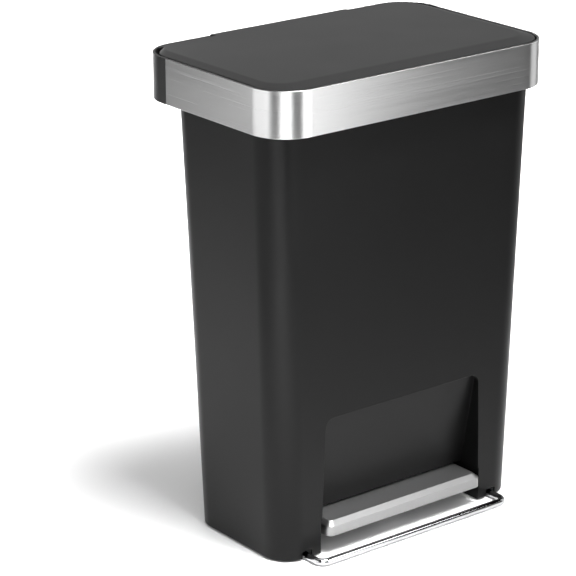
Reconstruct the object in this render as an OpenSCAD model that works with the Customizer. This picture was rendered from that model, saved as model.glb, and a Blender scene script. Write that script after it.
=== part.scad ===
// Rectangular pedal trash can: tapered body, steel-faced collar, inset lid and a wide foot pedal.
// The origin is on the floor under the centre of the footprint. +Z is up, the pedal faces -Y.

/* [Collar] */
// Width of the collar
collar_w = 464; // [452:2:476]
// Depth of the collar
collar_d = 298; // [296:1:300]
// Height of the collar's top edge above the floor
collar_top = 650; // [640:1:660]
// Height of the collar's side wall
collar_h = 61; // [59:1:63]
// Corner radius of the collar
collar_r = 52; // [48:1:56]
// Thickness of the collar's moulded wall
collar_wall = 2.5; // [2:0.5:3]
// Thickness of the steel band
band_t = 1; // [0.8:0.2:1.2]
// Y of the rear ends of the steel band
band_end_y = 88; // [80:1:96]

/* [Body] */
// Width of the body at its foot
base_w = 410; // [400:2:414]
// Y of the front face at the foot
base_front = -116.5; // [-118:0.5:-115]
// Y of the back face at the foot
base_back = 79.5; // [78:0.5:80]
// Widening of each side from the foot to the collar
side_draft = 20; // [18:0.5:20]
// Lean of the front face from the foot to the collar
front_draft = 7; // [6:0.5:8]
// Lean of the back face from the foot to the collar
back_draft = 13; // [12:0.5:14]
// Corner radius of the body
body_r = 38; // [34:1:42]
// Wall thickness of the body
wall = 2.5; // [2:0.5:3]
// Height of the underside of the bin's floor
floor_z = 50; // [50:0.5:52]

/* [Foot recess] */
// Half width of the recess at its top edge
recess_top_half = 133.7; // [130:0.5:135]
// Half width of the recess at the floor
recess_foot_half = 140; // [138:0.5:142]
// Height of the top edge of the recess
recess_top = 191.5; // [180:0.5:200]
// Radius of the two top corners
recess_r = 14; // [8:1:20]
// Lean of the recess's back wall, in mm of depth per mm of height
recess_lean = 0.218; // [0.2:0.002:0.23]

/* [Lid] */
// Height of the lid's flat top above the collar's top edge
lid_rise = 3; // [2:0.5:4]
// Gap and steel edge between the collar's outside and the lid
lid_inset = 6; // [5.5:0.5:7]
// Width of the chamfer at the lid's front edge
front_chamfer = 25; // [18:1:30]
// Width of the chamfer at the lid's sides
side_chamfer = 14; // [10:1:24]
// Half width of the tab that reaches over the back wall
tab_half = 114.5; // [110:0.5:118]
// Opening angle of the lid
lid_angle = 75; // [60:1:75]

/* [Pedal] */
// Half width of the tread
tread_half = 134.5; // [128:0.5:135]
// Y of the tread's front face
tread_front = -127.5; // [-129:0.5:-126]
// Height of the tread's flat top
tread_top = 47; // [45:0.5:47.5]
// Height of the tread's lower edge
tread_bottom = 27.7; // [27:0.1:30]
// Half width of the lever
arm_half = 18; // [15:1:20]

/* [Floor loop] */
// Diameter of the round bar
loop_d = 10; // [9:0.5:11]
// Y of the bar's axis in front of the pedal
loop_front = -146.5; // [-148:0.5:-145]
// Half distance between the axes of the side runs
loop_half = 163; // [160:0.5:166]

/* [Hidden] */

$fn = 64;
eps = 0.01;

black = [0.09, 0.09, 0.095];
dark = [0.16, 0.16, 0.165];
steel = [0.72, 0.72, 0.72];
zinc = [0.6, 0.6, 0.62];
nylon = [0.85, 0.85, 0.82];
rubber = [0.05, 0.05, 0.05];

// Collar
collar_y = 2.5;
collar_half = collar_w / 2;
collar_front = collar_y - collar_d / 2;
collar_back = collar_y + collar_d / 2;
collar_bottom = collar_top - collar_h;
ledge_z = collar_bottom + 15;
ledge_t = 3;
flange_t = 2.5;
skirt_t = 2;
skirt_bottom = collar_bottom - 4;
rear_skirt_bottom = ledge_z - 8;
back_lip = 12;
band_hem = 3;
band_hem_t = 1.2;

// Body
edge_z = 1.5;
lip_z = ledge_z;
floor_t = 3;
recess_mid = [-110.1, 182];
back_tilt = atan(back_draft / (collar_bottom - edge_z));

// Lid
lid_top = collar_top + lid_rise;
lid_edge_z = collar_top - 0.5;
lid_half = collar_half - lid_inset;
lid_front = collar_front + lid_inset;
lid_back = collar_back - back_lip - 3;
lid_t = 3;
lid_wall = 2.5;
lid_front_r = collar_r - lid_inset;
lid_rear_r = 40;
lid_skirt_bottom = ledge_z + ledge_t + 7;
tab_r = 6;
tab_bottom = 635;
inner_back = 108;
inner_t = 2.5;

// Lid hinge: the axis lies under the tab, above and in front of the collar's back wall
lid_axis = [collar_back - 10, collar_top - 4];
lid_pin_r = 2;
lid_boss_r = 3.8;
notch_half = tab_half + 1.3;
// The tab's lower edge swings down over the back wall's top edge
tab_swing = norm([collar_back - lid_axis[0], lid_axis[1] - tab_bottom]);
back_wall_in = collar_back - band_t - collar_wall - lid_axis[0];
notch_z = lid_axis[1] - sqrt(pow(tab_swing, 2) - pow(back_wall_in, 2)) - 0.5;

// Rim hinge: the axis lies below the collar, behind the rear cover
rim_axis = [140, 581];
rim_pin_r = 2.5;
rim_lug_x = 58;
rim_lug_t = 8;
rim_lug_r = 7;
rim_ear_t = 7;
rim_ear_r = 6;

// Crank and push rod
crank_r = 22;
crank_tip_r = 4;
crank_rest = lid_angle / 2;
crank_tip = [lid_axis[0] - crank_r * cos(crank_rest), lid_axis[1] - crank_r * sin(crank_rest)];
rod_lift = 2 * crank_r * sin(crank_rest);
rod_y = 121.5;
rod_r = 4;
head_gap = 0.8;
foot_gap = 0.6;
head_top = crank_tip[1] - crank_tip_r - head_gap;
head_h = 10;
head_half = 7;
crank_half = 6;
crank_plate = [20, 113, 137];
crank_plate_t = 2.5;
crank_screw = [14, 125];
crank_screw_r = 1.5;
running = 0.05;

// Pedal lever
pivot = [-18, 24];
axle_r = 4;
bush_r = 6;
arm_tip = [rod_y, 11];
arm_tip_r = 5;
arm_t = 2.5;
arm_front = -121;
arm_top = 38.4;
pedal_screw_x = 10;
pedal_screw_y = -100;
pedal_screw_r = 1.8;
foot_bottom = arm_tip[1] + arm_tip_r + foot_gap;
foot_h = 14;
tread_back = -77;
tread_t = 1.5;
tread_r = 9;
tread_chamfer = 7;
tread_chamfer_h = 6;

// Rear cover
cover_half = 88;
cover_back = 136;
cover_top = 572;
cover_wall = 2.2;
cover_r = 12;
cover_flange = 12;
cover_flange_t = 2.5;
screw_z = [60, 310, 545];
screw_x = cover_half + cover_flange / 2;
screw_r = 1.6;

// Damper, beside the push rod
damper = [34, 112];
damper_z = 400;
damper_h = 80;
damper_r = 9;
damper_bore = 7;
piston_rod_r = 2.5;
yoke_z = 518;
yoke_h = 12;

// Supports under the body
foot_x = 184;
foot_ys = [-84, 48];
foot_r = 10;
foot_t = 2.5;
foot_stem_r = 4;
clip_ys = [-88, 30];
clip_top = 16;
loop_bend = 12;
loop_rear = 58;
guide_z = [60, 559];
guide_h = 10;

// Half width, front and back of the body at height z
function body_half(z) = base_w / 2 + side_draft * (z - edge_z) / (collar_bottom - edge_z);
function body_front(z) = base_front - front_draft * (z - edge_z) / (collar_bottom - edge_z);
function body_back(z) = base_back + back_draft * (z - edge_z) / (collar_bottom - edge_z);
// Y of the recess's back wall at height z
function recess_y(z) = recess_mid[0] + (recess_mid[1] - z) * recess_lean;
// Points of an arc about a centre
function arc(c, r, a0, a1, n = 10) =
    [for (i = [0 : n]) let (a = a0 + (a1 - a0) * i / n) c + r * [cos(a), sin(a)]];

// Flat rounded rectangle from y0 to y1, with its own radius at the front and at the back
module outline(half, y0, y1, r_front, r_back) {
    for (s = [-1, 1]) {
        translate([s * (half - r_front), y0 + r_front]) circle(r_front);
        translate([s * (half - r_back), y1 - r_back]) circle(r_back);
    }
    polygon([[-half + r_front, y0], [half - r_front, y0], [half, y0 + r_front], [half, y1 - r_back],
        [half - r_back, y1], [-half + r_back, y1], [-half, y1 - r_back], [-half, y0 + r_front]]);
}

// Body's outline at height z, moved inwards
module body_outline(z, inset) {
    outline(body_half(z) - inset, body_front(z) + inset, body_back(z) - inset, body_r - inset, body_r - inset);
}

// Tapered solid with the body's shape between two heights
module body_solid(z0, z1, inset = 0) {
    hull() {
        translate([0, 0, z0]) linear_extrude(eps) body_outline(z0, inset);
        translate([0, 0, z1 - eps]) linear_extrude(eps) body_outline(z1, inset);
    }
}

// Collar's outline, moved inwards
module collar_outline(inset) {
    r = collar_r - inset;
    outline(collar_half - inset, collar_front + inset, collar_back - inset, r, r);
}

// Extrudes a shape drawn in the YZ plane along X, from -half to +half
module across(half) {
    translate([-half, 0, 0]) rotate([90, 0, 90]) linear_extrude(2 * half) children();
}

// Cylinder along X between two X values, at [y, z]
module x_bar(p, r, x0, x1) {
    translate([x0, p[0], p[1]]) rotate([0, 90, 0]) cylinder(h = x1 - x0, r = r);
}

// Places parts on both sides
module both_sides() {
    children();
    mirror([1, 0, 0]) children();
}

// Local frame on the body's back wall: Z runs up the wall and Y points away from it
module on_back_wall() {
    translate([0, base_back, edge_z]) rotate([-back_tilt, 0, 0]) children();
}

// Keeps what lies behind the body's back wall
module behind_wall() {
    intersection() {
        children();
        on_back_wall() translate([-200, 0, -20]) cube([400, 100, 660]);
    }
}

// Foot recess, widened by grow on its sides, top and back
module recess_cut(grow = 0) {
    top = recess_top + grow;
    lean = (recess_foot_half - recess_top_half) / recess_top;
    half_top = recess_top_half + grow;
    half_foot = recess_foot_half + grow + lean;
    intersection() {
        rotate([90, 0, 0]) translate([0, 0, 60]) linear_extrude(140) polygon(concat(
            [[-half_foot, -1], [half_foot, -1]],
            arc([half_top - recess_r, top - recess_r], recess_r, 0, 90),
            arc([-half_top + recess_r, top - recess_r], recess_r, 90, 180)));
        across(200) polygon([[-200, -2], [recess_y(0) + grow, -2], [recess_y(0) + grow, 0],
            [recess_y(top) + grow, top + 0.1], [-200, top + 0.1]]);
    }
}

// Post under the bin's floor
module post(p, bottom, r) {
    translate([p[0], p[1], bottom]) cylinder(h = floor_z + 0.5 - bottom, r = r);
}

module body_shell() color(black) {
    difference() {
        union() {
            difference() {
                body_solid(edge_z, lip_z);
                // Bin, which keeps the recess's wall standing
                difference() {
                    body_solid(floor_z + floor_t, lip_z + 1, wall);
                    recess_cut(wall);
                }
                recess_cut();
                // Lever tunnel between the legs
                translate([-recess_foot_half, recess_y(0) - 60, 0])
                    cube([2 * recess_foot_half, body_back(0) - wall - recess_y(0) + 60, floor_z]);
                // Hollow legs
                difference() {
                    body_solid(0, floor_z, wall);
                    translate([-recess_foot_half - wall, -200, -1])
                        cube([2 * (recess_foot_half + wall), 400, floor_z + 2]);
                }
            }
            // Posts for the feet and the loop's clips
            both_sides() {
                for (y = foot_ys) post([foot_x, y], foot_t, 8);
                for (y = clip_ys) post([loop_half, y], clip_top, 6);
            }
        }
        both_sides() {
            for (y = foot_ys) translate([foot_x, y, 0]) cylinder(h = 12, r = foot_stem_r);
            // Notch for the floor loop under the front edge
            translate([loop_half - 8, -140, 0]) cube([16, 30, 13]);
        }
        // Way through the back wall for the lever
        translate([-arm_half - 4, base_back - 20, 0]) cube([2 * arm_half + 8, 40, floor_z - 4]);
    }
}

module rear_cover() color(black) {
    difference() {
        union() {
            behind_wall() translate([0, 0, edge_z]) linear_extrude(cover_top - edge_z)
                outline(cover_half, 60, cover_back, cover_r, cover_r);
            on_back_wall() translate([-cover_half - cover_flange, 0, 0])
                cube([2 * (cover_half + cover_flange), cover_flange_t, cover_top - 8]);
            both_sides() for (x = [rim_lug_x - rim_ear_t - 1, rim_lug_x + rim_lug_t + 1]) {
                x_bar(rim_axis, rim_ear_r, x, x + rim_ear_t);
                translate([x, rim_axis[0] - 12, cover_top - 3])
                    cube([rim_ear_t, 12, rim_axis[1] - cover_top + 3]);
            }
        }
        // Room for the push rod
        translate([0, 0, edge_z - 1]) linear_extrude(cover_top - cover_wall - edge_z + 1)
            outline(cover_half - cover_wall, 40, cover_back - cover_wall, cover_r, cover_r - cover_wall);
        translate([-8, rod_y - 8, cover_top - 10]) cube([16, 16, 20]);
        both_sides() {
            x_bar(rim_axis, rim_pin_r, rim_lug_x - 20, rim_lug_x + 30);
            for (z = screw_z) on_back_wall() translate([screw_x, -1, z]) rotate([-90, 0, 0])
                cylinder(h = 10, r = screw_r);
        }
    }
}

// Hex-socket screw whose shank starts at the origin and whose head ends at +Z
module socket_screw(shank, r, head_h) {
    cylinder(h = shank, r = r);
    translate([0, 0, shank]) difference() {
        cylinder(h = head_h, r = 2 * r);
        translate([0, 0, head_h - 1.2]) cylinder(h = 2, r = 0.9 * r, $fn = 6);
    }
}

module cover_screws() color(zinc) {
    both_sides() for (z = screw_z) on_back_wall() translate([screw_x, 0, z]) rotate([-90, 0, 0])
        socket_screw(cover_flange_t, screw_r, 2.2);
}

module feet() color(rubber) {
    both_sides() for (y = foot_ys) translate([foot_x, y, 0]) {
        cylinder(h = foot_t, r = foot_r);
        cylinder(h = foot_t + 9, r = foot_stem_r);
    }
}

module floor_loop() color(steel) {
    bar = loop_d / 2;
    straight = loop_half - loop_bend;
    translate([0, 0, bar]) {
        translate([-straight, loop_front, 0]) rotate([0, 90, 0]) cylinder(h = 2 * straight, r = bar);
        both_sides() translate([straight, loop_front + loop_bend, 0]) {
            translate([loop_bend, 0, 0]) rotate([-90, 0, 0])
                cylinder(h = loop_rear - loop_front - loop_bend, r = bar);
            rotate([0, 0, -90]) rotate_extrude(angle = 90) translate([loop_bend, 0]) circle(bar);
        }
    }
}

module loop_clips() color(dark) {
    both_sides() for (y = clip_ys) difference() {
        translate([loop_half - 9, y - 7, edge_z]) cube([18, 14, clip_top - edge_z]);
        translate([loop_half, y - 8, loop_d / 2]) rotate([-90, 0, 0])
            cylinder(h = 16, r = loop_d / 2 + running);
    }
}

module axle_brackets() color(zinc) {
    plate = arm_half + 3;
    both_sides() difference() {
        union() {
            translate([plate, pivot[0] - 12, pivot[1]]) cube([4, 24, floor_z - pivot[1]]);
            x_bar(pivot, 12, plate, plate + 4);
            translate([plate, pivot[0] - 12, floor_z - 3]) cube([24, 24, 3]);
        }
        x_bar(pivot, axle_r, plate - 1, plate + 5);
    }
}

module pedal_axle() color(steel) {
    end = arm_half + 7;
    x_bar(pivot, axle_r, -end, end);
    both_sides() x_bar(pivot, axle_r + 2.5, end, end + 3);
}

module rod_guides() color(nylon) {
    behind_wall() for (z = guide_z) difference() {
        translate([-14, base_back, z]) cube([28, rod_y + 10 - base_back, guide_h]);
        translate([0, rod_y, z - 1]) cylinder(h = guide_h + 2, r = rod_r + running);
    }
}

module damper_cylinder() color(dark) {
    difference() {
        union() {
            translate([damper[0], damper[1], damper_z]) cylinder(h = damper_h, r = damper_r);
            behind_wall() translate([damper[0] - 6, base_back, damper_z + 10])
                cube([12, damper[1] - base_back - 4, damper_h - 20]);
        }
        translate([damper[0], damper[1], damper_z + 3]) cylinder(h = damper_h - 6, r = damper_bore);
        translate([damper[0], damper[1], damper_z + 10]) cylinder(h = damper_h, r = piston_rod_r + running);
    }
}

module rim_hinge_pins() color(steel) {
    over = rim_ear_t + 1.5;
    both_sides() x_bar(rim_axis, rim_pin_r, rim_lug_x - over, rim_lug_x + rim_lug_t + over);
}

// Outline inside the body's lip, moved inwards by its own amount at the back
module bag_outline(inset, back_inset) {
    r = body_r - wall - 2 - back_inset;
    outline(body_half(lip_z) - wall - 2 - inset, body_front(lip_z) + wall + 2 + inset,
        body_back(lip_z) - wall - 4.5 - back_inset, r, r);
}

// Outer wall, lower flange round the body, and the ledge that the lid closes on
module rim_walls() {
    translate([0, 0, collar_bottom]) linear_extrude(collar_h) difference() {
        collar_outline(0);
        collar_outline(band_t + collar_wall);
    }
    translate([0, 0, collar_bottom]) linear_extrude(flange_t) difference() {
        collar_outline(1.5);
        body_outline(collar_bottom, -2.5);
    }
    translate([0, 0, ledge_z]) linear_extrude(ledge_t) difference() {
        collar_outline(1.5);
        bag_outline(skirt_t, skirt_t);
    }
}

// Skirt that grips the bag inside the body, shorter at the back
module rim_skirt() {
    difference() {
        translate([0, 0, skirt_bottom]) linear_extrude(ledge_z + 1 - skirt_bottom) difference() {
            bag_outline(1, 0);
            bag_outline(skirt_t + 1, skirt_t);
        }
        translate([-collar_half, 20, skirt_bottom - 1])
            cube([collar_w, 100, rear_skirt_bottom - skirt_bottom + 1]);
    }
}

// Lip along the back wall, beside the tab
module rim_back_lip() {
    intersection() {
        translate([-collar_half, collar_back - back_lip, ledge_z])
            cube([collar_w, back_lip, collar_top - ledge_z]);
        translate([0, 0, collar_top - 3]) linear_extrude(3) collar_outline(0);
    }
}

// Cheek that holds the lid's pin, and lug of the rim hinge
module rim_hinge_mounts() {
    cheek_t = 7;
    both_sides() {
        translate([notch_half, lid_axis[0], ledge_z])
            cube([cheek_t, collar_back - 1 - lid_axis[0], collar_top - ledge_z]);
        x_bar(lid_axis, 4, notch_half, notch_half + cheek_t);
        x_bar(rim_axis, rim_lug_r, rim_lug_x, rim_lug_x + rim_lug_t);
        translate([rim_lug_x, rim_axis[0] - rim_lug_r, rim_axis[1]])
            cube([rim_lug_t, 2 * rim_lug_r, collar_bottom + 1 - rim_axis[1]]);
    }
}

// Step for the steel band
module band_seat() {
    translate([0, 0, collar_bottom - 1]) linear_extrude(collar_h + 2) difference() {
        translate([0, band_end_y - 300]) square([2 * collar_half + 10, 600], center = true);
        collar_outline(band_t);
    }
    translate([-collar_half, collar_front - 1, collar_top - band_hem_t])
        cube([collar_w, band_end_y - collar_front + 1, 5]);
}

// Space that the tab and the push rod need at the back of the rim
module rim_rear_cuts() {
    rod_way = body_back(lip_z) - 16;
    translate([-notch_half, lid_axis[0] - 8, notch_z]) cube([2 * notch_half, 40, 40]);
    translate([-13, rod_way, skirt_bottom - 1])
        cube([26, rod_y + 12 - rod_way, ledge_z + ledge_t + 2 - skirt_bottom]);
}

module rim_frame() color(dark) {
    difference() {
        union() {
            rim_walls();
            rim_skirt();
            rim_back_lip();
            rim_hinge_mounts();
        }
        band_seat();
        rim_rear_cuts();
        both_sides() {
            x_bar(lid_axis, lid_pin_r, notch_half - 1, notch_half + 6);
            x_bar(rim_axis, rim_pin_r + running, rim_lug_x - 1, rim_lug_x + rim_lug_t + 1);
        }
    }
}

module steel_band() color(steel) {
    intersection() {
        union() {
            translate([0, 0, collar_bottom]) linear_extrude(collar_h) difference() {
                collar_outline(0);
                collar_outline(band_t);
            }
            translate([0, 0, collar_top - band_hem_t]) linear_extrude(band_hem_t) difference() {
                collar_outline(0);
                collar_outline(band_hem);
            }
        }
        translate([-collar_half - 1, collar_front - 1, 0])
            cube([collar_w + 2, band_end_y - collar_front + 1, collar_top + 1]);
    }
}

module lid_buffers() color(rubber) {
    for (s = [-1, 1], y = [-80, 60]) translate([s * (lid_half - 2.5), y, ledge_z + ledge_t])
        cylinder(h = lid_skirt_bottom - ledge_z - ledge_t - 0.3, r = 4.5);
}

module lid_hinge_pins() color(steel) {
    both_sides() x_bar(lid_axis, lid_pin_r, notch_half - 14, notch_half + 6);
}

// Lid's outline, moved inwards by its own amount at the front, the sides and the back
module lid_outline(front, side, back) {
    outline(lid_half - side, lid_front + front, lid_back - back,
        lid_front_r - side, lid_rear_r - max(side, back));
}

// Crowned plate of the lid between its skirt's top and its flat top, moved inwards and down
module lid_crown(inset, drop) {
    hull() {
        translate([0, 0, lid_edge_z - 8 - drop]) linear_extrude(8) lid_outline(inset, inset, inset);
        translate([0, 0, lid_top - drop - eps]) linear_extrude(eps)
            lid_outline(front_chamfer, side_chamfer, inset);
    }
}

// Plate and skirt of the lid, moved inwards and its top moved down
module lid_block(inset, drop, bottom) {
    lid_crown(inset, drop);
    translate([0, 0, bottom]) linear_extrude(lid_edge_z - 4 - lid_skirt_bottom)
        lid_outline(inset, inset, inset);
}

// Tab over the collar's back wall: a wall with a rounded top edge, moved inwards
module lid_tab(half, front, inset, bottom) {
    across(half) polygon(concat(
        [[front, lid_top - inset], [front, bottom], [collar_back - min(inset, lid_wall), bottom]],
        arc([collar_back - tab_r, lid_top - tab_r], tab_r - min(inset, lid_wall), 0, 90)));
}

module lid_panel() color(dark) {
    inner_half = tab_half - lid_wall;
    boss_w = 13;
    difference() {
        union() {
            difference() {
                lid_block(0, 0, lid_skirt_bottom);
                lid_block(lid_wall, lid_t, lid_skirt_bottom - 1);
                // Opening in the back of the skirt, and the way into the tab
                translate([-notch_half - 9, lid_back - 10, lid_skirt_bottom - 1])
                    cube([2 * notch_half + 18, 20, lid_axis[1] - 5 - lid_skirt_bottom]);
                translate([-inner_half, lid_back - 10, lid_skirt_bottom - 1])
                    cube([2 * inner_half, 20, lid_top - lid_t + 1 - lid_skirt_bottom]);
            }
            difference() {
                lid_tab(tab_half, lid_back - 2, 0, tab_bottom);
                lid_tab(inner_half, lid_back - 12, lid_t, tab_bottom - 1);
            }
            // Bosses for the lid's pins
            both_sides() {
                x_bar(lid_axis, lid_boss_r, tab_half - boss_w, tab_half);
                translate([tab_half - boss_w, lid_axis[0] - 3, lid_axis[1]])
                    cube([boss_w, 6, lid_top - 1 - lid_axis[1]]);
            }
        }
        both_sides() {
            x_bar(lid_axis, lid_pin_r + running, tab_half - boss_w - 1, tab_half + 1);
            translate([crank_screw[0], crank_screw[1], lid_top - lid_t - 1]) cylinder(h = 3, r = crank_screw_r);
        }
    }
}

module lid_inner() color(dark) {
    half = lid_half - lid_wall;
    front = lid_front + lid_wall;
    difference() {
        translate([0, 0, lid_skirt_bottom]) {
            linear_extrude(inner_t) outline(half, front, inner_back, lid_front_r - lid_wall, 10);
            translate([-half + 10, inner_back - inner_t, 0])
                cube([2 * half - 20, inner_t, lid_edge_z - 8 - lid_skirt_bottom]);
        }
        // Way past the rod's head when the rim is lifted
        translate([-head_half - 2, inner_back - 12, lid_skirt_bottom - 1]) cube([2 * head_half + 4, 20, 40]);
    }
}

module lid_crank() color(zinc) {
    under = lid_top - lid_t;
    difference() {
        union() {
            translate([-crank_plate[0], crank_plate[1], under - crank_plate_t])
                cube([2 * crank_plate[0], crank_plate[2] - crank_plate[1], crank_plate_t]);
            // Web from the plate down to the tip
            across(crank_half) polygon([[crank_plate[1] + 3, under - 1], [crank_plate[2] - 2, under - 1],
                crank_tip + [3.5, -1.9], crank_tip - [3.9, 0.6]]);
            x_bar(crank_tip, crank_tip_r, -crank_half, crank_half);
        }
        both_sides() translate([crank_screw[0], crank_screw[1], under - 3]) cylinder(h = 4, r = crank_screw_r);
    }
}

module crank_screws() color(zinc) {
    both_sides() translate([crank_screw[0], crank_screw[1], lid_top - lid_t + 1.9]) rotate([180, 0, 0])
        socket_screw(crank_plate_t + 1.9, crank_screw_r, 2);
}

module push_rod() color(steel) {
    translate([0, rod_y, foot_bottom + 5]) cylinder(h = head_top - foot_bottom - 9, r = rod_r);
}

module rod_head() color(nylon) {
    difference() {
        translate([-head_half, rod_y - 6.5, head_top - head_h]) cube([2 * head_half, 13, head_h]);
        translate([0, rod_y, head_top - head_h - 1]) cylinder(h = head_h - 3, r = rod_r);
    }
}

module rod_foot() color(nylon) {
    difference() {
        translate([-9, rod_y - 8, foot_bottom]) cube([18, 16, foot_h]);
        translate([0, rod_y, foot_bottom + 5]) cylinder(h = foot_h, r = rod_r);
    }
}

module rod_yoke() color(nylon) {
    difference() {
        translate([-8, 106, yoke_z]) cube([damper[0] + 15, 23, yoke_h]);
        translate([0, rod_y, yoke_z - 1]) cylinder(h = yoke_h + 2, r = rod_r);
        translate([damper[0], damper[1], yoke_z - 1]) cylinder(h = yoke_h - 2, r = piston_rod_r);
    }
}

module damper_piston() color(steel) {
    translate([damper[0], damper[1], damper_z + 20]) {
        cylinder(h = 8, r = damper_bore - running);
        cylinder(h = yoke_z + yoke_h - 3 - damper_z - 20, r = piston_rod_r);
    }
}

// Block with the tread's shape, moved inwards
module tread_block(inset) {
    run = tread_chamfer + inset / 2;
    hull() {
        translate([0, 0, tread_bottom - inset]) linear_extrude(tread_top - tread_chamfer_h - tread_bottom)
            outline(tread_half - inset, tread_front + inset, tread_back, tread_r - inset, 1);
        translate([0, 0, tread_top - inset - eps]) linear_extrude(eps)
            outline(tread_half - run, tread_front + run, tread_back, 4, 1);
    }
}

module pedal_tread() color(steel) {
    difference() {
        tread_block(0);
        tread_block(tread_t);
    }
}

// Places parts at the screws that hold the tread's frame to the lever
module at_pedal_screws(z) {
    for (x = [-pedal_screw_x, pedal_screw_x]) translate([x, pedal_screw_y, z]) children();
}

module pedal_frame() color(dark) {
    inset = tread_t + 0.5;
    frame_z = 30;
    difference() {
        translate([0, 0, frame_z]) linear_extrude(tread_top - tread_chamfer_h - tread_t - frame_z)
            outline(tread_half - inset, tread_front + inset, tread_back, tread_r - inset, 1);
        // Seat of the lever
        translate([-arm_half - 0.1, arm_front - 1, frame_z - 1])
            cube([2 * arm_half + 0.2, 60, arm_top - frame_z + 1]);
        at_pedal_screws(arm_top - 1) cylinder(h = 2, r = pedal_screw_r);
    }
}

module pedal_arm() color(zinc) {
    top = pivot[1] + 8;
    difference() {
        union() {
            // Side view of the lever, from under the tread past the pivot to its tip
            across(arm_half) polygon([[arm_front, arm_top], [-60, arm_top], [-6, top], arm_tip + [-3, 4.5],
                arm_tip - [2, 4.5], [10, 10], [-30, 14], [-60, 28], [arm_front, 30]]);
            x_bar(arm_tip, arm_tip_r, -arm_half + 8, arm_half - 8);
        }
        // Open channel underneath
        across(arm_half - arm_t) polygon([[arm_front - 1, arm_top - arm_t], [-61, arm_top - arm_t],
            [-8, top - arm_t], arm_tip + [-12, 3], [arm_tip[0] - 12, -2], [arm_front - 1, -2]]);
        x_bar(pivot, bush_r, -arm_half - 1, arm_half + 1);
        at_pedal_screws(arm_top - 8) cylinder(h = 10, r = pedal_screw_r);
    }
}

module pedal_bush() color(nylon) {
    difference() {
        union() {
            x_bar(pivot, bush_r, -arm_half, arm_half);
            both_sides() x_bar(pivot, bush_r + 2, arm_half, arm_half + 2);
        }
        x_bar(pivot, axle_r + running, -arm_half - 3, arm_half + 3);
    }
}

module pedal_screws() color(zinc) {
    at_pedal_screws(arm_top + 0.9) rotate([180, 0, 0]) socket_screw(arm_t + 0.9, pedal_screw_r, 2.2);
}

body_shell();
rear_cover();
cover_screws();
feet();
floor_loop();
loop_clips();
axle_brackets();
pedal_axle();
rod_guides();
damper_cylinder();
rim_hinge_pins();
rim_frame();
steel_band();
lid_buffers();
lid_hinge_pins();
lid_panel();
lid_inner();
lid_crank();
crank_screws();
push_rod();
rod_head();
rod_foot();
rod_yoke();
damper_piston();
pedal_tread();
pedal_frame();
pedal_arm();
pedal_bush();
pedal_screws();
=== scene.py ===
"""Visual model of a rectangular pedal trash can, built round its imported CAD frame. Lengths are in metres."""
import math

import bmesh
import bpy
from mathutils import Matrix, Vector


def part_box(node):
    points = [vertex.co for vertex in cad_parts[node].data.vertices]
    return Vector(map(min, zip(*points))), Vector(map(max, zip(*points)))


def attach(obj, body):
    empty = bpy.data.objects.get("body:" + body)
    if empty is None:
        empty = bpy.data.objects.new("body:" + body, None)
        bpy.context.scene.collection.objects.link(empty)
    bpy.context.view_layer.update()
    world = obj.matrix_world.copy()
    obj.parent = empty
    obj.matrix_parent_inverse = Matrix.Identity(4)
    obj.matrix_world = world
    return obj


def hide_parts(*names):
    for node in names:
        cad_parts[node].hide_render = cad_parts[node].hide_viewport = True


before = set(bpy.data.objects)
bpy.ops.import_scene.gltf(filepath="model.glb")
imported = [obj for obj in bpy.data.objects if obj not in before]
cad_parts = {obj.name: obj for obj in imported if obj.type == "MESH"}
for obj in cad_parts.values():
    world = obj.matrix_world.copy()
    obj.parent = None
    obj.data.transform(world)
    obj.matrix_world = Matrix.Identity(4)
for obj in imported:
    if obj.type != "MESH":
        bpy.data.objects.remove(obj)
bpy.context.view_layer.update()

MM = 0.001
CORNER_STEPS = 24
ROUND_STEPS = 32
FILLET_STEPS = 4
SUPPORT = 2 * MM        # from the end of a corner's bend to its support point
RING_PITCH = 25 * MM    # largest step between the rings of the body's walls
OVER = 1 * MM           # how far a cutting tool reaches past a face that it cuts through
AHEAD = -200 * MM       # y in front of the whole can
ASIDE = 300 * MM        # x beside the whole can

# Collar, read from the frame
BAND_LOW, BAND_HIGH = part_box("steel_band")
COLLAR_HALF = BAND_HIGH.x
COLLAR_FRONT = BAND_LOW.y
COLLAR_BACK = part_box("rim_frame")[1].y
COLLAR_BOTTOM = BAND_LOW.z
COLLAR_TOP = BAND_HIGH.z
COLLAR_R = 52 * MM
BAND_END = BAND_HIGH.y

# Body: half width, front, back and height at its foot and at the collar's lower edge
BODY_LOW, BODY_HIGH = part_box("body_shell")
FOOT = {"half": 205 * MM, "front": -116.5 * MM, "back": 79.5 * MM, "z": BODY_LOW.z}
NECK = {"half": 225 * MM, "front": -123.5 * MM, "back": 92.5 * MM, "z": COLLAR_BOTTOM}
LIP_Z = BODY_HIGH.z
LIP_EDGE = 1 * MM
LIP_INSET = 0.8 * MM
FOOT_EDGE = 2.5 * MM
BODY_R = 38 * MM
BODY_EDGE = 0.9 * MM
WALL = 2.5 * MM
FLOOR_Z = 50 * MM
FLOOR_T = 3 * MM
TUNNEL_AHEAD = 60 * MM
LEVER_WAY_HALF = 22 * MM
LEVER_WAY_Y = (60 * MM, 100 * MM)
LEVER_WAY_TOP = 46 * MM

# Foot recess
RECESS_TOP = 191.5 * MM
RECESS_TOP_HALF = 133.7 * MM
RECESS_FOOT_HALF = 140 * MM
RECESS_R = 14 * MM
RECESS_LEAN = 0.218
RECESS_WALL_Y = -110.1 * MM    # the back wall at the height RECESS_WALL_Z
RECESS_WALL_Z = 182 * MM
RECESS_END = -60 * MM

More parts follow.
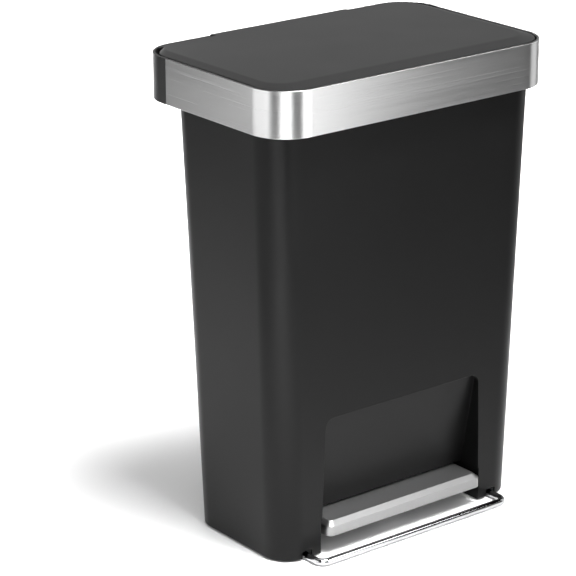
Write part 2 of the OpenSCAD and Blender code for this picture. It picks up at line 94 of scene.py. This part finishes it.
# Supports of the body, and the floor loop
FOOT_X = 184 * MM
FOOT_YS = (-84 * MM, 48 * MM)
FOOT_POST_R = 8 * MM
FOOT_POST_LOW = 2.5 * MM
CLIP_YS = (-88 * MM, 30 * MM)
CLIP_POST_R = 6 * MM
CLIP_POST_LOW = 16 * MM
POST_TAPER = 0.97
LOOP_LOW, LOOP_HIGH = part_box("floor_loop")
LOOP_R = (LOOP_HIGH.z - LOOP_LOW.z) / 2
LOOP_HALF = LOOP_HIGH.x - LOOP_R
LOOP_BEND = 12 * MM
NOTCH_HALF = 8 * MM
NOTCH_Y = (-140 * MM, -110 * MM)
NOTCH_TOP = 13 * MM

# Lid
LID_LOW, LID_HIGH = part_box("lid_panel")
LID_HALF = LID_HIGH.x
LID_FRONT = LID_LOW.y
LID_BACK = 136.5 * MM
LID_TOP = LID_HIGH.z
LID_EDGE = COLLAR_TOP - 0.5 * MM
LID_SKIRT = LID_LOW.z
LID_FRONT_R = 46 * MM
LID_REAR_R = 40 * MM
LID_WALL = 2.5 * MM
LID_T = 3 * MM
FRONT_CHAMFER = 25 * MM
SIDE_CHAMFER = 14 * MM
TAB_HALF = 114.5 * MM
TAB_BOTTOM = 635 * MM
TAB_R = 6 * MM
TAB_ROOT = 2 * MM
LUG_ROOM = 10.3 * MM
REAR_DEPTH = 10 * MM    # how far the rear cuts reach from the lid's back edge
LID_AXIS_Y = 141.5 * MM
LID_AXIS_Z = 646 * MM
LUG_R = 6 * MM
BOSS_R = 3.8 * MM
BOSS_START = 13 * MM    # the boss's ends, measured in from the tab's side
BOSS_END = 0.5 * MM
PIN_HOLE_R = 2.05 * MM

# Section of the lid's edge, over its rounded outer edge, its flank and its soft upper edge: run and rise as
# parts of the chamfer's
CROWN = ((0.012, 0.0), (0.035, 0.075), (0.07, 0.13), (0.5, 0.52), (0.86, 0.88), (0.95, 0.96),
         (1.05, 0.995), (1.15, 1.0))

# Tread
TREAD_LOW, TREAD_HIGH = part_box("pedal_tread")
TREAD_CHAMFER = 7 * MM
TREAD_CHAMFER_H = 6 * MM
TREAD_R = 9 * MM
TREAD_REAR_R = 1 * MM
TREAD_T = 1.5 * MM

# Camera of the photograph
CAMERA_AT = (-2.0975, -2.5364, 1.4736)
CAMERA_YAW, CAMERA_PITCH, CAMERA_ROLL = 38.185, -19.442, -0.163
CAMERA_LENS = 161.56

# Upright panels of the studio
PANEL_LOW = 0.05
PANEL_HEIGHT = 1.4


# ---------------------------------------------------------------- mesh helpers

def arc(centre, radius, start, end, steps=8):
    """Flat arc points about a centre, from start to end degrees."""
    turns = [math.radians(start + (end - start) * i / steps) for i in range(steps + 1)]
    return [(centre[0] + radius * math.cos(a), centre[1] + radius * math.sin(a)) for a in turns]


def outline(half, y0, y1, r_front, r_back, steps=CORNER_STEPS):
    """Rounded rectangle from (-half, y0) to (half, y1), anticlockwise from its right rear corner.

    Each corner has one more point on the straight side before and after it, which keeps flat sides flat
    under smooth shading.
    """
    corners = (
        (half - r_back, y1 - r_back, r_back, 0),
        (-half + r_back, y1 - r_back, r_back, 90),
        (-half + r_front, y0 + r_front, r_front, 180),
        (half - r_front, y0 + r_front, r_front, 270),
    )
    points = []
    for cx, cy, r, start in corners:
        bend = arc((cx, cy), r, start, start + 90, steps)
        first, last = math.radians(start), math.radians(start + 90)
        before = (bend[0][0] + SUPPORT * math.sin(first), bend[0][1] - SUPPORT * math.cos(first))
        after = (bend[-1][0] - SUPPORT * math.sin(last), bend[-1][1] + SUPPORT * math.cos(last))
        points += [before, *bend, after]
    return points


def lift(points, z):
    """Raises a flat outline to height z."""
    return [Vector((x, y, z)) for x, y in points]


def make_object(name, bm):
    """Turns a bmesh into an object of the scene, with its normals facing out."""
    bmesh.ops.recalc_face_normals(bm, faces=bm.faces)
    mesh = bpy.data.meshes.new(name)
    bm.to_mesh(mesh)
    bm.free()
    piece = bpy.data.objects.new(name, mesh)
    bpy.context.scene.collection.objects.link(piece)
    return piece


def add_loft(bm, rings):
    """Adds a solid through rings of equal length, capped at both ends, to a bmesh."""
    rows = [[bm.verts.new(p) for p in ring] for ring in rings]
    for low, high in zip(rows, rows[1:]):
        for i in range(len(low)):
            j = (i + 1) % len(low)
            bm.faces.new((low[i], low[j], high[j], high[i]))
    bm.faces.new(rows[0])
    bm.faces.new(rows[-1])


def loft(name, rings):
    """Object of one solid through rings of equal length."""
    bm = bmesh.new()
    add_loft(bm, rings)
    return make_object(name, bm)


def prism(name, points, along, start, end):
    """Extrudes an outline of 3D points from start to end along a direction."""
    return loft(name, [[p + along * start for p in points], [p + along * end for p in points]])


def box(name, low, high):
    """Block between two corners."""
    ring = [(low[0], low[1]), (high[0], low[1]), (high[0], high[1]), (low[0], high[1])]
    return loft(name, [lift(ring, low[2]), lift(ring, high[2])])


def circle(centre, radius, first, second):
    """Ring of points about a centre, in the plane of two directions."""
    turns = [2 * math.pi * i / ROUND_STEPS for i in range(ROUND_STEPS)]
    return [centre + (first * math.cos(a) + second * math.sin(a)) * radius for a in turns]


def rod(name, start, end, radius):
    """Round bar between two points."""
    axis = (end - start).normalized()
    side = axis.orthogonal().normalized()
    other = axis.cross(side)
    return loft(name, [circle(p, radius, side, other) for p in (start, end)])


def freeze(piece):
    """Applies a piece's modifiers to its mesh."""
    graph = bpy.context.evaluated_depsgraph_get()
    mesh = bpy.data.meshes.new_from_object(piece.evaluated_get(graph))
    piece.modifiers.clear()
    old = piece.data
    piece.data = mesh
    bpy.data.meshes.remove(old)


def carve(piece, tool, operation="DIFFERENCE"):
    """Cuts a tool out of a piece, or joins it, and deletes the tool."""
    step = piece.modifiers.new("carve", "BOOLEAN")
    step.operation = operation
    step.object = tool
    step.solver = "EXACT"
    freeze(piece)
    bpy.data.objects.remove(tool, do_unlink=True)


def soften(piece, width, segments=3, angle=32, miter="MITER_ARC"):
    """Rounds the edges of a piece that turn by more than an angle."""
    bevel = piece.modifiers.new("edges", "BEVEL")
    bevel.width = width
    bevel.segments = segments
    bevel.limit_method = "ANGLE"
    bevel.angle_limit = math.radians(angle)
    bevel.miter_outer = miter


def weigh_normals(piece, keep_sharp=False):
    """Bends the shading normals towards those of the large faces, which keeps flat faces flat."""
    normals = piece.modifiers.new("normals", "WEIGHTED_NORMAL")
    normals.mode = "FACE_AREA_WITH_ANGLE"
    normals.keep_sharp = keep_sharp


def dress(piece, width=0, segments=3, angle=32):
    """Shades a piece smoothly between its sharp edges, which are rounded first where a width is given."""
    if width:
        soften(piece, width, segments, angle)
        freeze(piece)
    piece.data.set_sharp_from_angle(angle=math.radians(40))
    for polygon in piece.data.polygons:
        polygon.use_smooth = True
    weigh_normals(piece, keep_sharp=True)


# ---------------------------------------------------------------- materials

class Surface:
    """A node material with short calls for the nodes that the finishes share."""

    def __init__(self, name, color, roughness, metallic=0.0):
        self.material = bpy.data.materials.new(name)
        self.material.use_nodes = True
        self.nodes = self.material.node_tree.nodes
        self.links = self.material.node_tree.links
        self.shader = self.nodes["Principled BSDF"]
        self.shader.inputs["Base Color"].default_value = (*color, 1)
        self.shader.inputs["Roughness"].default_value = roughness
        self.shader.inputs["Metallic"].default_value = metallic
        self.place = self.nodes.new("ShaderNodeTexCoord").outputs["Object"]

    def noise(self, scale, detail, roughness=0.5, stretch=(1, 1, 1)):
        """Noise in the object's own space, squeezed along the axes that stretch enlarges."""
        mapping = self.nodes.new("ShaderNodeMapping")
        mapping.inputs["Scale"].default_value = stretch
        self.links.new(self.place, mapping.inputs["Vector"])
        node = self.nodes.new("ShaderNodeTexNoise")
        node.inputs["Scale"].default_value = scale
        node.inputs["Detail"].default_value = detail
        node.inputs["Roughness"].default_value = roughness
        self.links.new(mapping.outputs["Vector"], node.inputs["Vector"])
        return node.outputs["Fac"]

    def tint(self, value, low, high):
        """Lets a 0 to 1 value move the colour from low to high."""
        node = self.nodes.new("ShaderNodeMix")
        node.data_type = "RGBA"
        node.inputs["A"].default_value = (*low, 1)
        node.inputs["B"].default_value = (*high, 1)
        self.links.new(value, node.inputs["Factor"])
        self.links.new(node.outputs["Result"], self.shader.inputs["Base Color"])

    def rough(self, value, low, high):
        """Lets the middle of a noise's range move the roughness from low to high."""
        node = self.nodes.new("ShaderNodeMapRange")
        node.inputs["From Min"].default_value = 0.3
        node.inputs["From Max"].default_value = 0.7
        node.inputs["To Min"].default_value = low
        node.inputs["To Max"].default_value = high
        self.links.new(value, node.inputs["Value"])
        self.links.new(node.outputs["Result"], self.shader.inputs["Roughness"])

    def bump(self, height, strength, distance):
        """Raises the surface with a 0 to 1 height."""
        node = self.nodes.new("ShaderNodeBump")
        node.inputs["Strength"].default_value = strength
        node.inputs["Distance"].default_value = distance
        self.links.new(height, node.inputs["Height"])
        self.links.new(node.outputs["Normal"], self.shader.inputs["Normal"])


def plastic(name, grey, roughness, grain=0.10, gloss=0.5):
    """Black moulded plastic with a fine spark-eroded grain and a faint flow in its gloss."""
    s = Surface(name, (grey, grey, grey * 1.03), roughness)
    s.shader.inputs["Specular IOR Level"].default_value = gloss
    flow = s.noise(6, 2)
    s.rough(flow, roughness - 0.03, roughness + 0.03)
    fine = s.noise(1500, 2, 0.6)
    s.tint(fine, (grey * 0.8,) * 3, (grey * 1.25,) * 3)
    s.bump(fine, grain, 0.0002)
    return s.material


def brushed(name, stretch, base, roughness, axis):
    """Brushed stainless steel: hairlines along the axes that stretch scales least, sheen about an axis."""
    streak = 0.06
    s = Surface(name, (base, base, base * 1.01), roughness, metallic=1.0)
    s.shader.inputs["Anisotropic"].default_value = 0.6
    tangent = s.nodes.new("ShaderNodeTangent")
    tangent.direction_type = "RADIAL"
    tangent.axis = axis
    s.links.new(tangent.outputs["Tangent"], s.shader.inputs["Tangent"])
    lines = s.noise(1.0, 4, 0.65, stretch)
    s.rough(lines, roughness - streak, roughness + streak)
    s.tint(lines, (base * (1 - streak),) * 3, (base * (1 + streak),) * 3)
    s.bump(lines, 0.05, 0.0001)
    return s.material


def plain_metal(name, base, roughness, scale):
    """Plated or ground metal with a fine even grain."""
    s = Surface(name, (base, base, base), roughness, metallic=1.0)
    grain = s.noise(scale, 3)
    s.rough(grain, roughness - 0.05, roughness + 0.05)
    s.bump(grain, 0.05, 0.0001)
    return s.material


def chrome():
    """Bright bar with a faintly uneven polish."""
    s = Surface("bright_bar", (0.5, 0.5, 0.51), 0.07, metallic=1.0)
    polish = s.noise(300, 2)
    s.rough(polish, 0.05, 0.1)
    return s.material


def nylon():
    """Off-white nylon, slightly cloudy and translucent."""
    s = Surface("nylon", (0.62, 0.61, 0.57), 0.45)
    s.shader.inputs["Subsurface Weight"].default_value = 0.1
    s.shader.inputs["Subsurface Radius"].default_value = (0.002, 0.002, 0.002)
    cloud = s.noise(120, 3)
    s.tint(cloud, (0.58, 0.57, 0.53), (0.66, 0.65, 0.61))
    s.bump(cloud, 0.05, 0.0003)
    return s.material


def rubber():
    """Dull black rubber."""
    s = Surface("rubber", (0.02, 0.02, 0.02), 0.75)
    grain = s.noise(900, 3)
    s.rough(grain, 0.65, 0.85)
    s.bump(grain, 0.2, 0.0003)
    return s.material


BLACK = plastic("body_black", 0.004, 0.36, gloss=0.15)
COLLAR = plastic("collar_black", 0.012, 0.32, grain=0.06)
LID = plastic("lid_black", 0.022, 0.36, gloss=0.6)
BAND_STEEL = brushed("band_steel", (2.5, 2.5, 2000), 0.62, 0.22, "Z")
TREAD_STEEL = brushed("tread_steel", (3, 1400, 1400), 0.33, 0.4, "X")
CHROME = chrome()
ZINC = plain_metal("zinc_plate", 0.5, 0.38, 600)
GROUND = plain_metal("ground_bar", 0.6, 0.22, 1200)
NYLON = nylon()
RUBBER = rubber()

# Material and edge radius in millimetres of every CAD node that stays
CAD_FINISH = {
    "rear_cover": (BLACK, 0.8), "rim_frame": (COLLAR, 0.5), "pedal_frame": (COLLAR, 0.4),
    "loop_clips": (COLLAR, 0.6), "damper_cylinder": (COLLAR, 0.5), "lid_inner": (LID, 0.6),
    "cover_screws": (ZINC, 0.25), "crank_screws": (ZINC, 0.2), "pedal_screws": (ZINC, 0.25),
    "axle_brackets": (ZINC, 0.4), "lid_crank": (ZINC, 0.4), "pedal_arm": (ZINC, 0.5),
    "pedal_axle": (GROUND, 0.5), "push_rod": (GROUND, 0.5), "damper_piston": (GROUND, 0.3),
    "rim_hinge_pins": (GROUND, 0.3), "lid_hinge_pins": (GROUND, 0.3),
    "rod_guides": (NYLON, 0.5), "rod_head": (NYLON, 0.8), "rod_foot": (NYLON, 0.8),
    "rod_yoke": (NYLON, 0.8), "pedal_bush": (NYLON, 0.3), "feet": (RUBBER, 0.5),
    "lid_buffers": (RUBBER, 0.6),
}


def finish_cad_nodes():
    """Gives every CAD node that stays its finish and its rounded edges."""
    for name, (material, radius) in CAD_FINISH.items():
        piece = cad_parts[name]
        piece.data.materials.clear()
        piece.data.materials.append(material)
        weld = piece.modifiers.new("weld", "WELD")
        weld.merge_threshold = 0.00001
        soften(piece, radius * MM, segments=2, angle=35, miter="MITER_SHARP")
        weigh_normals(piece)


def place(piece, body, material, node):
    """Rides a new piece on its body in place of its CAD node."""
    piece.data.materials.append(material)
    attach(piece, body)
    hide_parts(node)


# ---------------------------------------------------------------- body

def body_at(z):
    """Half width, front and back of the body at height z."""
    t = (z - FOOT["z"]) / (NECK["z"] - FOOT["z"])
    return [FOOT[k] + t * (NECK[k] - FOOT[k]) for k in ("half", "front", "back")]


def body_ring(z, inset):
    """The body's outline at height z, moved in by an inset."""
    half, front, back = body_at(z)
    r = BODY_R - inset
    return lift(outline(half - inset, front + inset, back - inset, r, r), z)


def body_rings(z0, z1, inset=0.0):
    """Rings up the body, close enough together to keep a cut's effect on the shading local."""
    count = math.ceil((z1 - z0) / RING_PITCH)
    return [body_ring(z0 + (z1 - z0) * i / count, inset) for i in range(count + 1)]


def recess_y(z):
    """Y of the recess's back wall at height z."""
    return RECESS_WALL_Y + (RECESS_WALL_Z - z) * RECESS_LEAN


def recess_tool(grow=0.0):
    """The foot recess, widened by grow on its sides, top and back."""
    top = RECESS_TOP + grow
    widening = (RECESS_FOOT_HALF - RECESS_TOP_HALF) / RECESS_TOP
    half = RECESS_TOP_HALF + grow
    foot = RECESS_FOOT_HALF + grow + widening * OVER
    radius = RECESS_R + grow
    front = [(-foot, -OVER), (foot, -OVER)]
    front += arc((half - radius, top - radius), radius, 0, 90)
    front += arc((-half + radius, top - radius), radius, 90, 180)
    tool = prism("recess", [Vector((x, 0, z)) for x, z in front], Vector((0, 1, 0)), AHEAD, RECESS_END)
    side = [(AHEAD - OVER, -2 * OVER), (recess_y(0) + grow, -2 * OVER), (recess_y(top) + grow, top + OVER),
            (AHEAD - OVER, top + OVER)]
    keep = prism("keep", [Vector((0, y, z)) for y, z in side], Vector((1, 0, 0)), -ASIDE, ASIDE)
    carve(tool, keep, "INTERSECT")
    return tool


def body_outside():
    """Solid outer form of the body, from its rounded foot edge to its chamfered lip."""
    turns = [math.radians(90 * i / FILLET_STEPS) for i in range(FILLET_STEPS + 1)]
    rings = [body_ring(FOOT["z"] + FOOT_EDGE - FOOT_EDGE * math.cos(a), FOOT_EDGE - FOOT_EDGE * math.sin(a))
             for a in turns]
    rings += body_rings(FOOT["z"] + FOOT_EDGE, LIP_Z - LIP_EDGE)[1:]
    rings.append(body_ring(LIP_Z, LIP_INSET))
    return loft("body_moulding", rings)


def bin_tool():
    """The bin's inside, which keeps clear of the recess."""
    tool = loft("bin", body_rings(FLOOR_Z + FLOOR_T, LIP_Z + OVER, WALL))
    carve(tool, recess_tool(WALL))
    return tool


def leg_tool(side):
    """The hollow of one leg, beside the lever tunnel."""
    tool = loft("legs", [body_ring(0, WALL), body_ring(FLOOR_Z, WALL)])
    low, high = sorted((-side * ASIDE, side * (RECESS_FOOT_HALF + WALL)))
    carve(tool, box("middle", (low, AHEAD, -OVER), (high, -AHEAD, FLOOR_Z + OVER)))
    return tool


def notch_tool(side):
    """The notch in a leg's front wall that lets the loop's side bar in."""
    low, high = sorted((side * (LOOP_HALF - NOTCH_HALF), side * (LOOP_HALF + NOTCH_HALF)))
    return box("notch", (low, NOTCH_Y[0], -OVER), (high, NOTCH_Y[1], NOTCH_TOP))


def make_body():
    """The tapered shell with its bin, foot recess, lever tunnel and hollow legs."""
    body = body_outside()
    carve(body, bin_tool())
    carve(body, recess_tool())
    soften(body, BODY_EDGE)
    freeze(body)
    tunnel_back = body_at(0)[2] - WALL
    carve(body, box("tunnel", (-RECESS_FOOT_HALF, recess_y(0) - TUNNEL_AHEAD, -OVER),
                    (RECESS_FOOT_HALF, tunnel_back, FLOOR_Z)))
    for side in (1, -1):
        carve(body, leg_tool(side))
        carve(body, notch_tool(side))
    carve(body, box("lever_way", (-LEVER_WAY_HALF, LEVER_WAY_Y[0], -OVER),
                    (LEVER_WAY_HALF, LEVER_WAY_Y[1], LEVER_WAY_TOP)))
    dress(body)
    place(body, "body", BLACK, "body_shell")


def add_post(bm, x, y, radius, low):
    """Adds a slightly tapered post, from a height up to the body's floor, to a bmesh."""
    ways = Vector((1, 0, 0)), Vector((0, 1, 0))
    add_loft(bm, [circle(Vector((x, y, low)), radius * POST_TAPER, *ways),
                  circle(Vector((x, y, FLOOR_Z)), radius, *ways)])


def make_posts():
    """Posts under the floor that carry the feet and the loop's clips."""
    bm = bmesh.new()
    for side in (1, -1):
        for y in FOOT_YS:
            add_post(bm, side * FOOT_X, y, FOOT_POST_R, FOOT_POST_LOW)
        for y in CLIP_YS:
            add_post(bm, side * LOOP_HALF, y, CLIP_POST_R, CLIP_POST_LOW)
    posts = make_object("leg_posts", bm)
    dress(posts, 0.4 * MM, segments=2)
    place(posts, "body", BLACK, "body_shell")


# ---------------------------------------------------------------- collar

def collar_path(inset):
    """The collar's outline in front of the band's ends, from the left end round to the right end."""
    half = COLLAR_HALF - inset
    r = COLLAR_R - inset
    full = outline(half, COLLAR_FRONT + inset, COLLAR_BACK - inset, r, r)
    front_corners = full[len(full) // 2:]
    return [(-half, BAND_END), *front_corners, (half, BAND_END)]


def make_band():
    """Steel band with a rolled top hem and a folded lower edge, swept along the collar."""
    z0, z1 = COLLAR_BOTTOM, COLLAR_TOP
    # Points of the band's section: distance behind its face in millimetres, and height
    profile = [(0.9, z0), (0.35, z0), (0.1, z0 + 0.1 * MM), (0.0, z0 + 0.4 * MM), (0.0, z1 - 1.0 * MM),
               (0.1, z1 - 0.55 * MM), (0.35, z1 - 0.2 * MM), (0.75, z1), (2.3, z1), (2.75, z1 - 0.15 * MM),
               (2.95, z1 - 0.5 * MM), (2.9, z1 - 1.0 * MM), (2.6, z1 - 1.2 * MM), (1.0, z1 - 1.2 * MM)]
    bm = bmesh.new()
    rows = [[bm.verts.new((x, y, z)) for x, y in collar_path(d * MM)] for d, z in profile]
    for low, high in zip(rows, rows[1:] + rows[:1]):
        for i in range(len(low) - 1):
            bm.faces.new((low[i], low[i + 1], high[i + 1], high[i]))
    bm.faces.new([row[0] for row in rows])
    bm.faces.new([row[-1] for row in rows])
    band = make_object("steel_facing", bm)
    dress(band)
    place(band, "rim", BAND_STEEL, "steel_band")


# ---------------------------------------------------------------- lid

def lid_ring(front, side, back, z):
    """The lid's outline at height z, moved in by its own inset at the front, the sides and the back."""
    points = outline(LID_HALF - side, LID_FRONT + front, LID_BACK - back,
                     LID_FRONT_R - side, LID_REAR_R - max(side, back))
    return lift(points, z)


def crown_rings(inset, drop, bottom):
    """Rings of the lid's plate, from a lower height up over the chamfer to the flat top."""
    top = LID_TOP - drop
    edge = LID_EDGE - drop
    front_run = FRONT_CHAMFER - inset
    side_run = SIDE_CHAMFER - inset
    rings = [lid_ring(inset, inset, inset, bottom), lid_ring(inset, inset, inset, edge - 1.2 * MM)]
    for run, rise in CROWN:
        # The back edge has no chamfer, only a rounding of 0.5 mm
        back = inset + min(run, 0.1) * 5 * MM
        z = edge + (top - edge) * rise
        rings.append(lid_ring(inset + front_run * run, inset + side_run * run, back, z))
    return rings


def make_plate():
    """Crowned plate and skirt, cut away at the back for the collar's hinge lugs and inside the tab."""
    plate = loft("lid_moulding", crown_rings(0, 0, LID_SKIRT))
    carve(plate, loft("inside", crown_rings(LID_WALL, LID_T, LID_SKIRT - OVER)))
    gap = TAB_HALF + LUG_ROOM
    carve(plate, box("rear_gap", (-gap, LID_BACK - REAR_DEPTH, LID_SKIRT - OVER),
                     (gap, LID_BACK + REAR_DEPTH, LID_AXIS_Z - LUG_R)))
    inner = TAB_HALF - LID_WALL
    carve(plate, box("tab_way", (-inner, LID_BACK - REAR_DEPTH, LID_SKIRT - 2 * OVER),
                     (inner, LID_BACK + REAR_DEPTH, LID_TOP - LID_T)))
    return plate


def tab_side(name, front, top, bottom, inset, half):
    """Block of the rear tab's side outline, with its rounded upper back edge."""
    points = [(front, top), (front, bottom), (COLLAR_BACK - inset, bottom)]
    points += arc((COLLAR_BACK - TAB_R, LID_TOP - TAB_R), TAB_R - inset, 0, 90)
    return prism(name, [Vector((0, y, z)) for y, z in points], Vector((1, 0, 0)), -half, half)


def make_tab():
    """Hollow rear tab that reaches back over the collar's hinge."""
    tab = tab_side("tab", LID_BACK - TAB_ROOT, LID_TOP, TAB_BOTTOM, 0, TAB_HALF)
    hollow = tab_side("hollow", LID_BACK - TAB_ROOT - REAR_DEPTH, LID_TOP - LID_T, TAB_BOTTOM - OVER,
                      LID_WALL, TAB_HALF - LID_WALL)
    carve(tab, hollow)
    return tab


def lid_axle(name, x0, x1, radius):
    """Round bar on the lid's hinge axis."""
    start, end = (Vector((x, LID_AXIS_Y, LID_AXIS_Z)) for x in (x0, x1))
    return rod(name, start, end, radius)


def make_lid():
    """Lid moulding: crowned plate, skirt, rear tab and hinge bosses."""
    lid = make_plate()
    carve(lid, make_tab(), "UNION")
    for side in (1, -1):
        inner = side * (TAB_HALF - BOSS_START)
        outer = side * (TAB_HALF - BOSS_END)
        carve(lid, lid_axle("boss", inner, outer, BOSS_R), "UNION")
        carve(lid, lid_axle("hole", inner - side * OVER, side * (TAB_HALF + OVER), PIN_HOLE_R))
    dress(lid, 0.5 * MM)
    place(lid, "lid", LID, "lid_panel")


# ---------------------------------------------------------------- pedal and loop

def tread_ring(inset, z, chamfer=0.0):
    """The tread's outline at height z, moved in by an inset and, at its front and ends, by the chamfer."""
    half = TREAD_HIGH.x - inset - chamfer
    front = TREAD_LOW.y + inset + chamfer
    r = max(TREAD_R - inset - chamfer * 0.6, 1.5 * MM)
    return lift(outline(half, front, TREAD_HIGH.y - inset, r, TREAD_REAR_R, steps=12), z)


def tread_rings(inset):
    """Rings of the tread from its lower edge over the chamfer to its flat top."""
    knee = TREAD_HIGH.z - TREAD_CHAMFER_H - inset
    top = TREAD_HIGH.z - inset
    # Straight side, small rounding below the chamfer, the chamfer's flank, and its rounded upper edge
    rings = [tread_ring(inset, TREAD_LOW.z), tread_ring(inset, knee - 0.6 * MM),
             tread_ring(inset, knee, 0.2 * MM)]
    for t in (0.08, 0.5, 0.9):
        rings.append(tread_ring(inset, knee + (top - knee) * t, TREAD_CHAMFER * t + 0.2 * MM))
    rings.append(tread_ring(inset, top - 0.15 * MM, TREAD_CHAMFER - 0.1 * MM))
    rings.append(tread_ring(inset, top, TREAD_CHAMFER + 0.9 * MM))
    return rings


def make_tread():
    """Pressed steel tread, open underneath."""
    tread = loft("tread_pressing", tread_rings(TREAD_T)[::-1] + tread_rings(0))
    dress(tread)
    place(tread, "pedal", TREAD_STEEL, "pedal_tread")


def loop_points():
    """Axis of the floor loop, from the right rear end round the front to the left rear end."""
    front = LOOP_LOW.y + LOOP_R
    right = arc((LOOP_HALF - LOOP_BEND, front + LOOP_BEND), LOOP_BEND, 0, -90, 12)
    left = [(-x, y) for x, y in reversed(right)]
    return [(LOOP_HALF, LOOP_HIGH.y)] + right + left + [(-LOOP_HALF, LOOP_HIGH.y)]


def make_loop():
    """Bright round bar with softly rounded ends."""
    axis = [Vector((x, y, LOOP_R)) for x, y in loop_points()]
    up = Vector((0, 0, 1))
    rings = []
    for i, p in enumerate(axis):
        ahead = axis[min(i + 1, len(axis) - 1)] - axis[max(i - 1, 0)]
        side = ahead.cross(up).normalized()
        rings.append(circle(p, LOOP_R, side, up))
    bar = loft("floor_bar", rings)
    dress(bar, 1 * MM, angle=60)
    place(bar, "body", CHROME, "floor_loop")


# ---------------------------------------------------------------- room, lights and camera

def make_floor():
    """Plain pale floor."""
    s = Surface("floor", (0.86, 0.86, 0.86), 0.9)
    s.shader.inputs["Specular IOR Level"].default_value = 0.1
    bm = bmesh.new()
    bmesh.ops.create_grid(bm, x_segments=1, y_segments=1, size=30)
    floor = make_object("floor", bm)
    floor.data.materials.append(s.material)


def area_light(name, place_at, target, size, radiance, spread=180):
    """Soft panel that faces a target; radiance is the brightness of its face, spread its beam in degrees."""
    data = bpy.data.lights.new(name, "AREA")
    data.shape = "RECTANGLE"
    data.size, data.size_y = size
    data.energy = radiance * math.pi * size[0] * size[1]
    data.spread = math.radians(spread)
    lamp = bpy.data.objects.new(name, data)
    lamp.location = place_at
    lamp.rotation_mode = "QUATERNION"
    lamp.rotation_quaternion = (Vector(target) - Vector(place_at)).to_track_quat("-Z", "Y")
    lamp.visible_camera = False
    bpy.context.scene.collection.objects.link(lamp)


def standing_panel(name, bearing, distance, width, radiance):
    """Upright soft panel that faces the can. Its bearing turns from the can's left, -X, to its front, -Y."""
    a = math.radians(bearing)
    middle = PANEL_LOW + PANEL_HEIGHT / 2
    place_at = (-distance * math.cos(a), -distance * math.sin(a), middle)
    area_light(name, place_at, (0, 0, middle), (width, PANEL_HEIGHT), radiance)


def make_world(walls, ceiling):
    """Grey walls all round that fade into the ceiling between two heights of the view direction."""
    world = bpy.data.worlds.new("studio")
    bpy.context.scene.world = world
    world.use_nodes = True
    nodes, links = world.node_tree.nodes, world.node_tree.links
    direction = nodes.new("ShaderNodeTexCoord").outputs["Generated"]
    split = nodes.new("ShaderNodeSeparateXYZ")
    fade = nodes.new("ShaderNodeMapRange")
    fade.inputs["From Min"].default_value = 0.1
    fade.inputs["From Max"].default_value = 0.6
    fade.inputs["To Min"].default_value = walls
    fade.inputs["To Max"].default_value = ceiling
    links.new(direction, split.inputs["Vector"])
    links.new(split.outputs["Z"], fade.inputs["Value"])
    links.new(fade.outputs["Result"], nodes["Background"].inputs["Strength"])
    nodes["Background"].inputs["Color"].default_value = (1, 1, 1, 1)


def make_camera():
    """Camera from the front left, a little above the can."""
    yaw, pitch, roll = (math.radians(a) for a in (CAMERA_YAW, CAMERA_PITCH, CAMERA_ROLL))
    forward = Vector((math.sin(yaw) * math.cos(pitch), math.cos(yaw) * math.cos(pitch), math.sin(pitch)))
    level = Vector((math.cos(yaw), -math.sin(yaw), 0))
    up = level.cross(forward)
    right = level * math.cos(roll) + up * math.sin(roll)
    upright = up * math.cos(roll) - level * math.sin(roll)
    data = bpy.data.cameras.new("camera")
    data.sensor_width = 36
    data.lens = CAMERA_LENS
    data.clip_end = 100
    camera = bpy.data.objects.new("camera", data)
    turn = Matrix((right, upright, -forward)).transposed()
    camera.matrix_world = Matrix.Translation(CAMERA_AT) @ turn.to_4x4()
    bpy.context.scene.collection.objects.link(camera)
    bpy.context.scene.camera = camera


make_camera()
make_floor()
make_world(0.35, 0.0)

# A key light from high in front, pools of light on the floor round the can, a small light on the pedal, and
# upright panels for the can's sides to reflect
area_light("key", (0.2, -1.1, 3.5), (-0.15, 0.5, 0), (1.6, 1.6), 2.7, 42)
area_light("over_back", (1.7, 2.3, 2.8), (1.7, 2.3, 0), (1.6, 1.6), 5.0, 70)
area_light("over_middle", (0.75, 1.2, 2.8), (0.75, 1.2, 0), (1.2, 1.2), 4.5, 50)
area_light("over_near", (-1.0, -1.15, 2.6), (-0.8, -0.9, 0), (0.8, 0.8), 9.0, 40)
area_light("pedal_light", (1.45, -1.45, 2.1), (0, -0.1, 0.1), (0.7, 0.7), 0.5, 40)
standing_panel("soft_camera", 50, 1.6, 0.8, 2.0)
standing_panel("soft_front", 107, 1.5, 0.8, 2.3)
standing_panel("soft_left", -17, 1.8, 1.8, 1.35)
standing_panel("soft_side", 8, 1.6, 0.5, 0.4)
standing_panel("soft_right", 166, 1.6, 0.8, 0.9)
standing_panel("soft_back", 264, 2.0, 1.6, 0.5)
bpy.context.scene.view_settings.view_transform = "Standard"

finish_cad_nodes()
make_body()
make_posts()
make_band()
make_lid()
make_tread()
make_loop()
